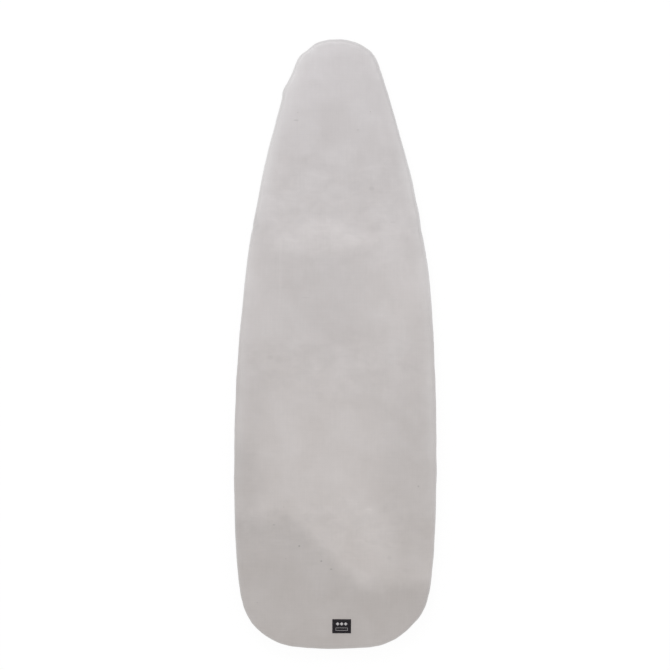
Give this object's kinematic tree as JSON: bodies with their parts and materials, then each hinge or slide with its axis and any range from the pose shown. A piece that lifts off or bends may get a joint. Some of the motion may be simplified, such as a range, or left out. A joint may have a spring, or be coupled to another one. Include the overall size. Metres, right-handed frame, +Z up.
{
  "type": "ironing board cover",
  "caption": "Fitted ironing board cover: padded metallised cotton top with a rounded nose, tucked under the board by a gathered elastic hem.",
  "frame": {"origin": "on the surface that the cover rests on, under the middle of its length and width", "axes": "+Z up out of the ironing face, +Y along the cover towards the rounded nose, +X across it"},
  "size_m": [0.433, 1.3, 0.043],
  "materials": {
    "metallised_cotton": "matt silver-grey metallised plain weave",
    "foam": "open-cell polyurethane foam, cream",
    "felt": "needle-punched felt, off-white with grey fibres",
    "bias_tape": "plain-weave polyester-cotton tape, grey",
    "elastic": "braided elastic cord, white",
    "grey_thread": "spun polyester sewing thread, grey",
    "label_weave": null,
    "black_thread": "spun polyester sewing thread, black"
  },
  "bodies": {
    "root": {"cover_fabric": "metallised_cotton", "foam_pad": "foam", "felt_pad": "felt", "hem_tape": "bias_tape", "hem_elastic": "elastic", "hem_stitching": "grey_thread", "woven_label": "label_weave", "label_stitching": "black_thread"}
  },
  "joints": []
}
